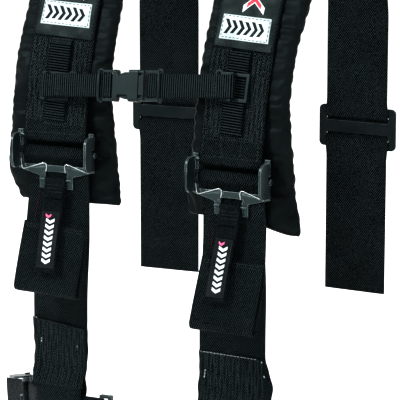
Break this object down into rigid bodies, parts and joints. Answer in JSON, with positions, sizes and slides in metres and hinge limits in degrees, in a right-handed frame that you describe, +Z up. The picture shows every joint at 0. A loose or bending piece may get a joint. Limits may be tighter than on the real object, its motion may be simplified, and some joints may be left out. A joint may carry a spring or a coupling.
{
  "type": "racing harness",
  "caption": "Padded shoulder harness with sternum strap, tilt-lock adjusters, rear slides, and lap belts with a lift-lever latch and snap hooks.",
  "frame": {"origin": "midway between the shoulders, where the pads rest on them", "axes": "+X to the right seen from the chest side, -Y towards the chest side, +Z up"},
  "size_m": [0.4778, 0.3687, 0.6571],
  "materials": {
    "webbing": "coarse woven polyester webbing",
    "narrow_webbing": "ribbed narrow webbing",
    "pad_shell": "smooth nylon cloth",
    "pad_lining": "air mesh lining",
    "foam": "closed-cell foam",
    "panel": "smooth coated cloth",
    "patch": "woven label",
    "tab_label": "woven label",
    "plastic": "moulded acetal",
    "black_steel": "black zinc-plated steel",
    "bar_steel": "black zinc-plated steel",
    "plated_steel": "zinc-plated steel"
  },
  "bodies": {
    "harness": {"left_shoulder_webbing": "webbing", "left_pad_cover": "pad_shell", "left_pad_foam": "foam", "left_pad_liner": "pad_lining", "left_shoulder_panel": "panel", "left_name_patch": "patch", "left_ladder_webbing": "narrow_webbing", "left_rear_slide": "black_steel", "left_lower_webbing": "webbing", "right_shoulder_webbing": "webbing", "right_pad_cover": "pad_shell", "right_pad_foam": "foam", "right_pad_liner": "pad_lining", "right_shoulder_panel": "panel", "right_name_patch": "patch", "right_ladder_webbing": "narrow_webbing", "right_rear_slide": "black_steel", "right_lower_webbing": "webbing", "left_lap_inner_webbing": "webbing", "left_lap_outer_webbing": "webbing", "left_snap_hook": "plated_steel", "right_lap_inner_webbing": "webbing", "right_lap_outer_webbing": "webbing", "right_snap_hook": "plated_steel", "latch_base": "black_steel"},
    "left_adjuster": {"left_adjuster_frame": "black_steel"},
    "left_adjuster_slide": {"left_adjuster_bar": "bar_steel", "left_tail_webbing": "webbing"},
    "left_tab": {"left_pull_tab": "narrow_webbing", "left_tab_label": "tab_label"},
    "left_lap_adjuster": {"left_lap_adjuster_frame": "black_steel"},
    "left_lap_slide": {"left_lap_adjuster_bar": "bar_steel", "left_lap_tail_webbing": "webbing"},
    "left_gate": {"left_hook_gate": "plated_steel"},
    "right_adjuster": {"right_adjuster_frame": "black_steel"},
    "right_adjuster_slide": {"right_adjuster_bar": "bar_steel", "right_tail_webbing": "webbing"},
    "right_tab": {"right_pull_tab": "narrow_webbing", "right_tab_label": "tab_label"},
    "right_lap_adjuster": {"right_lap_adjuster_frame": "black_steel"},
    "right_lap_slide": {"right_lap_adjuster_bar": "bar_steel", "right_lap_tail_webbing": "webbing"},
    "right_gate": {"right_hook_gate": "plated_steel"},
    "left_sternum": {"left_sternum_slider": "plastic", "left_sternum_webbing": "narrow_webbing", "buckle_female": "plastic"},
    "right_sternum": {"right_sternum_slider": "plastic", "right_sternum_webbing": "narrow_webbing"},
    "buckle_insert": {"buckle_male": "plastic"},
    "upper_arm": {"buckle_upper_arm": "plastic"},
    "lower_arm": {"buckle_lower_arm": "plastic"},
    "lever": {"latch_lever": "plated_steel"},
    "tongue": {"latch_tongue": "plated_steel"}
  },
  "joints": [
    {"name": "left_adjuster_tilt", "type": "hinge", "parent": "harness", "child": "left_adjuster", "pos_m": [-0.10883, -0.17371, -0.2292], "axis": [-0.9986, -0.0523, 0], "range_deg": [0, 35]},
    {"name": "left_bar_slide", "type": "slide", "parent": "left_adjuster", "child": "left_adjuster_slide", "axis": [0, 0, 1], "range_m": [0, 0.003]},
    {"name": "left_tab_swing", "type": "hinge", "parent": "left_adjuster", "child": "left_tab", "pos_m": [-0.10869, -0.1762, -0.2776], "axis": [-0.9986, -0.0523, 0], "range_deg": [0, 70]},
    {"name": "left_lap_adjuster_tilt", "type": "hinge", "parent": "harness", "child": "left_lap_adjuster", "pos_m": [-0.15416, -0.15218, -0.56368], "axis": [-0.147, 0.147, 0.9781], "range_deg": [0, 35]},
    {"name": "left_lap_bar_slide", "type": "slide", "parent": "left_lap_adjuster", "child": "left_lap_slide", "axis": [0.6917, -0.6917, 0.2079], "range_m": [0, 0.003]},
    {"name": "left_gate_swing", "type": "hinge", "parent": "harness", "child": "left_gate", "pos_m": [-0.21007, 0.02659, -0.58687], "axis": [-0.9891, -0.0109, -0.147], "range_deg": [0, 25], "stiffness_Nm_per_rad": 0.02},
    {"name": "right_adjuster_tilt", "type": "hinge", "parent": "harness", "child": "right_adjuster", "pos_m": [0.10883, -0.17371, -0.2394], "axis": [-0.9986, 0.0523, 0], "range_deg": [0, 35]},
    {"name": "right_bar_slide", "type": "slide", "parent": "right_adjuster", "child": "right_adjuster_slide", "axis": [0, 0, 1], "range_m": [0, 0.003]},
    {"name": "right_tab_swing", "type": "hinge", "parent": "right_adjuster", "child": "right_tab", "pos_m": [0.10869, -0.1762, -0.2878], "axis": [-0.9986, 0.0523, 0], "range_deg": [0, 70]},
    {"name": "right_lap_adjuster_tilt", "type": "hinge", "parent": "harness", "child": "right_lap_adjuster", "pos_m": [0.15416, -0.15218, -0.56368], "axis": [-0.147, -0.147, -0.9781], "range_deg": [0, 35]},
    {"name": "right_lap_bar_slide", "type": "slide", "parent": "right_lap_adjuster", "child": "right_lap_slide", "axis": [-0.6917, -0.6917, 0.2079], "range_m": [0, 0.003]},
    {"name": "right_gate_swing", "type": "hinge", "parent": "harness", "child": "right_gate", "pos_m": [0.21007, 0.02659, -0.58687], "axis": [-0.9891, 0.0109, 0.147], "range_deg": [0, 25], "stiffness_Nm_per_rad": 0.02},
    {"name": "left_sternum_slide", "type": "slide", "parent": "harness", "child": "left_sternum", "axis": [-0.0116, 0.2213, 0.9751], "range_m": [-0.015, 0.015]},
    {"name": "right_sternum_slide", "type": "slide", "parent": "harness", "child": "right_sternum", "axis": [0.0136, 0.2599, 0.9656], "range_m": [-0.015, 0.015]},
    {"name": "buckle_release", "type": "slide", "parent": "left_sternum", "child": "buckle_insert", "axis": [0.9978, 0.0276, 0.0596], "range_m": [0, 0.028], "deforming": ["right_sternum_webbing"]},
    {"name": "upper_arm_squeeze", "type": "hinge", "parent": "buckle_insert", "child": "upper_arm", "pos_m": [0.00214, -0.17468, -0.15113], "axis": [0.0125, -0.9705, 0.2406], "range_deg": [0, 8], "stiffness_Nm_per_rad": 0.1},
    {"name": "lower_arm_squeeze", "type": "hinge", "parent": "buckle_insert", "child": "lower_arm", "pos_m": [0.00371, -0.18052, -0.17477], "axis": [-0.0125, 0.9705, -0.2406], "range_deg": [0, 8], "stiffness_Nm_per_rad": 0.1},
    {"name": "latch_lever_lift", "type": "hinge", "parent": "harness", "child": "lever", "pos_m": [-0.024, -0.192, -0.5616], "axis": [0, 0, -1], "range_deg": [0, 90], "stiffness_Nm_per_rad": 0.05},
    {"name": "latch_tongue_slide", "type": "slide", "parent": "harness", "child": "tongue", "axis": [1, 0, 0], "range_m": [0, 0.016], "deforming": ["right_lap_inner_webbing"]}
  ],
  "couplings": [
    {"joint": "right_sternum_slide", "follows": "left_sternum_slide", "ratio": 1},
    {"joint": "lower_arm_squeeze", "follows": "upper_arm_squeeze", "ratio": 1}
  ]
}
